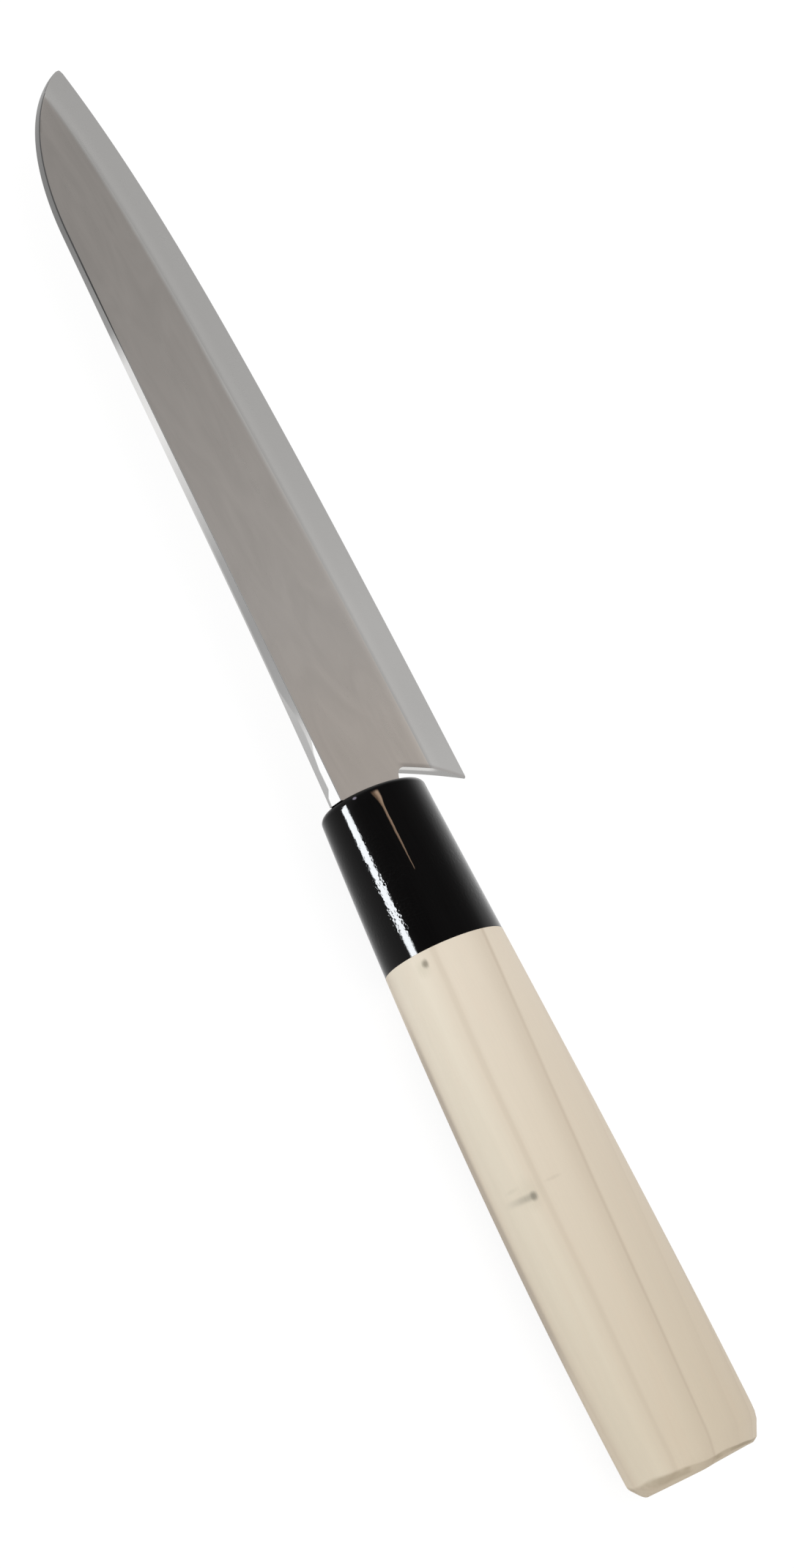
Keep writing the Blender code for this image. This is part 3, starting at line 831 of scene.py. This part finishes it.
def wood_marks(g, where, colour, fibres):
    """Knots and stains, the dark smear beside the second knot, and painted shade on the under side."""
    along, y, z = g.split(where)
    for spot, reach, amount, stain in WOOD_SPOTS:
        offset = g.vector("DIVIDE", g.vector("SUBTRACT", where, spot), reach)
        near = g.step(g.add(g.vector("LENGTH", offset), g.centred(fibres, 0.4)), 1.2, 0.2)
        colour = g.tint(colour, g.times(near, amount), stain)
    off = g.math("ABSOLUTE", g.add(g.add(along, g.times(z, 0.09)), 78.25))
    smear = g.times(g.step(off, 1.0, 0.1), g.times(g.step(z, -2.9, 3.2), g.step(z, 4.6, 3.6)))
    smear = g.times(g.times(smear, g.step(y, 12.0, 13.5)), g.math("MULTIPLY_ADD", fibres, 0.5, 0.2))
    colour = g.tint(colour, smear, SMEAR_COLOUR)
    # Painted shade on the under side, where the grip faces down toward the floor
    normal = g.node("ShaderNodeNewGeometry").outputs["Normal"]
    down = g.times(g.split(normal)[2], -1.0)
    under = g.times(g.step(down, 0.46, 0.64), g.band(along, -98.0, -52.0, 18.0))
    return g.tint(colour, g.times(under, 0.6), UNDER_SIDE_SHADE)


def make_wood():
    """Pale close-grained wood, sanded along the grip and cut by hand at the butt."""
    material, g = new_graph("pale_wood")
    where = g.place()
    fibres = g.noise(where, (0.05, 2.6, 2.6), 5.0, 0.65)
    pores = g.noise(where, (0.35, 9.0, 9.0), 2.0, 0.6)
    cloudy = g.noise(where, (0.015, 0.09, 0.09), 3.0, 0.5)
    colour = wood_grain(g, where, fibres, cloudy)
    colour = wood_marks(g, where, colour, fibres)
    cut = g.attribute("cut")
    blotch = g.step(g.noise(where, (0.28, 0.24, 0.24), 2.0, 0.5), 0.40, 0.62)
    # The chamfer band is darkened more toward the lower side of the right flank: painted shade
    far = g.step(g.vector("DOT_PRODUCT", where, ACROSS_FLANK), -2.0, 6.0)
    edge = g.times(g.band(cut, 0.30, 0.60, 0.24), g.add(g.times(blotch, 0.26), g.times(far, 0.16)))
    colour = g.tint(colour, g.add(g.times(g.step(cut, 0.0, 0.28), 0.30), edge), CUT_COLOUR)
    rough = g.add(0.55, g.add(g.centred(fibres, 0.06), g.times(g.step(cut, 0.02, 0.10), 0.15)))
    height = g.add(g.times(fibres, 0.7), g.times(pores, 0.3))
    g.finish(colour, rough, g.bump(height, 0.04 * MM), Specular_IOR_Level=0.3)
    return material


def make_resin():
    """Cured resin round the tang: brown, faintly cloudy and finely pitted."""
    material, g = new_graph("bedding_resin")
    where = g.place()
    cloudy = g.noise(where, (0.2, 0.5, 0.5), 4.0, 0.6)
    pits = g.noise(where, (2.5, 2.5, 2.5), 2.0, 0.5)
    colour = g.tint((0.16, 0.075, 0.022, 1.0), cloudy, (0.27, 0.13, 0.045, 1.0))
    rough = g.add(0.30, g.times(pits, 0.15))
    g.finish(colour, rough, g.bump(pits, 0.05 * MM))
    return material


# Pieces

def dress(piece, node, *materials):
    """Give a piece its materials and let it stand in for a node of the CAD."""
    for material in materials:
        piece.data.materials.append(material)
    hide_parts(node)
    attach(piece, "root")


def mark_heights(mesh):
    """Store how far each point is above the ridge, in millimetres."""
    above = []
    for vertex in mesh.vertices:
        x, y, _ = (a - b for a, b in zip(vertex.co, ORIGIN))
        above.append((y - edge_y(x) - bevel_height(x)) / MM)
    mesh.attributes.new("above_ridge", "FLOAT", "POINT").data.foreach_set("value", above)


def make_blade():
    turns = np.linspace(0, math.pi / 2, BLADE_STATIONS)
    stations = [NECK_X + (TIP_X - NECK_X) * math.sin(a) for a in turns]
    sections = [blade_section(x) for x in stations]
    blade = loft("ground_blade", [ring for ring, _ in sections], sections[0][1])
    tang = loft("tang", taper(TANG_ROOT_X, TANG_END_X, 0.0), [HEEL] * 8)
    steels = make_steels()
    notch = notch_tool()
    for piece in (blade, tang, notch):
        for material in steels:
            piece.data.materials.append(material)
    carve(blade, ("DIFFERENCE", notch), ("UNION", tang))
    mark_heights(blade.data)
    smooth(blade, 12)
    dress(blade, "blade")


def make_ferrule():
    rings = []
    for step in range(RIM_STEPS + 1):
        a = math.pi / 2 * step / RIM_STEPS
        rings.append(grip_section(-RIM_RADIUS * (1 - math.cos(a)), RIM_RADIUS * (1 - math.sin(a))))
    rings += [grip_section(x) for x in np.linspace(-RIM_RADIUS, JOINT_X, FERRULE_RINGS)[1:]]
    ferrule = loft("polished_ferrule", rings)
    bore = loft("bore", [
        [(x, y, z) for _, y, z in grip_section(-FERRULE_FRONT, FERRULE_WALL)]
        for x in (-FERRULE_FRONT, JOINT_X - OVERLAP)
    ])
    slot = loft("slot", taper(OVERLAP, -FERRULE_FRONT - OVERLAP, FIT_GAP))
    carve(ferrule, ("DIFFERENCE", bore), ("DIFFERENCE", slot))
    smooth(ferrule, 30)
    dress(ferrule, "ferrule", make_horn())
    return ferrule


def make_handle():
    front = JOINT_X - JOINT_GAP
    body_end = BUTT_X + CHAMFER_WIDE[0] * CHAMFER_ROOM
    rings = [grip_section(x) for x in np.linspace(front, body_end, HANDLE_RINGS)]
    rings += [butt_section(*shares) for shares in CHAMFER_PROFILE]
    handle = loft("wooden_handle", rings)
    tenon = loft("tenon", [
        [(x, y, z) for _, y, z in grip_section(-FERRULE_FRONT, FERRULE_WALL + FIT_GAP)]
        for x in (-FERRULE_FRONT - FIT_GAP, front - OVERLAP)
    ])
    slot = loft("slot", taper(OVERLAP, SLOT_END_X, SLOT_EXTRA))
    carve(handle, ("UNION", tenon), ("DIFFERENCE", slot))
    mark_cut(handle.data)
    slant(handle)
    smooth(handle, 40)
    dress(handle, "handle", make_wood())


# Studio

FLOOR_HALF_SIZE = 3.0
FLOOR_DROP = 0.2 * MM
FLOOR_PAPER = (0.94, 0.955, 0.98, 1.0)
FLOOR_SHADE = (0.12, 0.12, 0.12, 1.0)
FLOOR_GLOW = 0.92

# Brightness of the room for even light, and for reflections from the ground up to the ceiling
ROOM_LIGHT = 0.98
ROOM_REFLECTED = ((0.0, 1.0), (0.08, 0.95), (0.36, 0.66), (0.53, 0.56), (0.80, 0.40), (1.0, 0.34))

# Lamps
ROOM_LAMP_SIZE = (1.6, 0.40)
SOFTBOX_PLACE = (0.25, 1.20, 0.22)
SOFTBOX_COLOUR = (0.84, 0.94, 1.0)
SOFTBOX_POWER = 3.4
FILL_PLACE = (0.25, -1.20, 0.22)
FILL_POWER = 1.5
STRIP_PLACE = (-0.0266, 0.0493, 0.0121)
STRIP_TARGET = (-0.0376, 0.0005, 0.0121)
STRIP_SIZE = (0.0413, 0.0088)
STRIP_TURN = math.radians(11)
STRIP_COLOUR = (0.93, 0.965, 1.0)
STRIP_POWER = 0.15

# Camera, fitted to the outlines in the photo
CAMERA_RIGHT = (-0.428909, -0.577480, 0.694661)
CAMERA_UP = (0.872520, -0.065652, 0.484148)
CAMERA_BACK = (-0.233980, 0.813761, 0.532021)
CAMERA_PLACE = (-0.148869, 0.468952, 0.318961)


def make_floor():
    """White paper that takes light plainly, and is seen as white with a faint shadow."""
    bm = bmesh.new()
    bmesh.ops.create_grid(bm, x_segments=2, y_segments=2, size=FLOOR_HALF_SIZE)
    mesh = bpy.data.meshes.new("studio_floor")
    bm.to_mesh(mesh)
    bm.free()
    floor = bpy.data.objects.new("studio_floor", mesh)
    floor.location.z = -FLOOR_DROP
    bpy.context.scene.collection.objects.link(floor)
    material, g = new_graph("floor_paper")
    light = g.node("ShaderNodeLightPath")
    seen = g.math("MAXIMUM", light.outputs["Is Camera Ray"], light.outputs["Is Glossy Ray"])
    seen = g.math("MAXIMUM", seen, light.outputs["Is Transmission Ray"])
    plain = g.node("ShaderNodeBsdfDiffuse", Color=FLOOR_PAPER)
    faint = g.node("ShaderNodeBsdfDiffuse", Color=FLOOR_SHADE)
    glow = g.node("ShaderNodeEmission", Color=WHITE, Strength=FLOOR_GLOW)
    both = g.node("ShaderNodeAddShader")
    g.put(both.inputs[0], faint.outputs[0])
    g.put(both.inputs[1], glow.outputs[0])
    mix = g.node("ShaderNodeMixShader")
    g.put(mix.inputs[0], seen)
    g.put(mix.inputs[1], plain.outputs[0])
    g.put(mix.inputs[2], both.outputs[0])
    output = g.node("ShaderNodeOutputMaterial")
    g.put(output.inputs["Surface"], mix.outputs[0])
    floor.data.materials.append(material)


def make_world():
    """Even pale room; its reflections darken toward the ceiling, and more in three parts of the room."""
    world = bpy.data.worlds.new("studio")
    bpy.context.scene.world = world
    world.use_nodes = True
    world.cycles.sampling_method = "NONE"
    g = Graph(world.node_tree)
    x, y, z = g.split(g.node("ShaderNodeTexCoord").outputs["Generated"])
    ahead = g.times(g.step(y, -0.1, 0.75), g.step(z, 0.02, 0.20))
    ahead = g.times(ahead, g.step(g.math("ABSOLUTE", x), 0.50, 0.28))
    side = g.times(g.step(x, 0.15, 0.55), g.step(z, 0.15, 0.55))
    rear = g.times(g.step(x, -0.05, -0.30), g.step(z, 0.30, 0.85))
    reflected = g.curve(z, ROOM_REFLECTED)
    for part, depth in ((ahead, 0.75), (side, 0.45), (rear, 0.75)):
        reflected = g.times(reflected, g.math("MULTIPLY_ADD", part, -depth, 1.0))
    light = g.node("ShaderNodeLightPath")
    glossy = g.math("SUBTRACT", reflected, ROOM_LIGHT)
    level = g.math("MULTIPLY_ADD", light.outputs["Is Glossy Ray"], glossy, ROOM_LIGHT)
    level = g.math("MAXIMUM", level, light.outputs["Is Camera Ray"])
    shader = g.node("ShaderNodeBackground", Color=WHITE, Strength=level)
    output = g.node("ShaderNodeOutputWorld")
    g.put(output.inputs["Surface"], shader.outputs[0])


def aim(thing, right, up, back, place):
    """Put a lamp or the camera at a place, with its axes along right, up and back."""
    rows = [tuple(row) for row in zip(right, up, back, place)]
    thing.matrix_world = Matrix(rows + [(0.0, 0.0, 0.0, 1.0)])


def make_lamp(name, place, toward, size, power, colour=None, **seen_by):
    data = bpy.data.lights.new(name, "AREA")
    data.shape = "RECTANGLE"
    data.size, data.size_y = size
    data.energy = power
    if colour:
        data.color = colour
    lamp = bpy.data.objects.new(name, data)
    bpy.context.scene.collection.objects.link(lamp)
    back = np.array(place) - np.array(toward)
    back /= np.linalg.norm(back)
    right = np.cross((0.0, 0.0, 1.0), back)
    right /= np.linalg.norm(right)
    aim(lamp, right, np.cross(back, right), back, place)
    for key, value in seen_by.items():
        setattr(lamp, key, value)
    return lamp


def make_lamps(polished):
    """Two soft lamps beside the knife, and a strip that lights only the polished piece."""
    middle = (0.0, 0.0, 0.0)
    make_lamp(
        "softbox", SOFTBOX_PLACE, middle, ROOM_LAMP_SIZE, SOFTBOX_POWER, SOFTBOX_COLOUR,
        visible_glossy=False,
    )
    make_lamp("fill", FILL_PLACE, middle, ROOM_LAMP_SIZE, FILL_POWER, visible_glossy=False)
    strip = make_lamp(
        "strip", STRIP_PLACE, STRIP_TARGET, STRIP_SIZE, STRIP_POWER, STRIP_COLOUR,
        visible_diffuse=False, visible_camera=False,
    )
    strip.rotation_euler.rotate_axis("Z", STRIP_TURN)
    lit = bpy.data.collections.new("lit_by_strip")
    lit.objects.link(polished)
    strip.light_linking.receiver_collection = lit


def make_camera():
    data = bpy.data.cameras.new("camera")
    data.sensor_fit = "AUTO"
    data.sensor_width = 36.0
    data.lens = 71.83
    data.clip_start = 0.01
    data.clip_end = 20.0
    camera = bpy.data.objects.new("camera", data)
    bpy.context.scene.collection.objects.link(camera)
    aim(camera, CAMERA_RIGHT, CAMERA_UP, CAMERA_BACK, CAMERA_PLACE)
    bpy.context.scene.camera = camera


def make_bedding():
    bedding = bpy.data.objects["tang_bedding"]
    bedding.data.materials.clear()
    bedding.data.materials.append(make_resin())


make_blade()
ferrule = make_ferrule()
make_handle()
make_bedding()
make_floor()
make_world()
make_lamps(ferrule)
make_camera()
bpy.context.scene.view_settings.view_transform = "Standard"
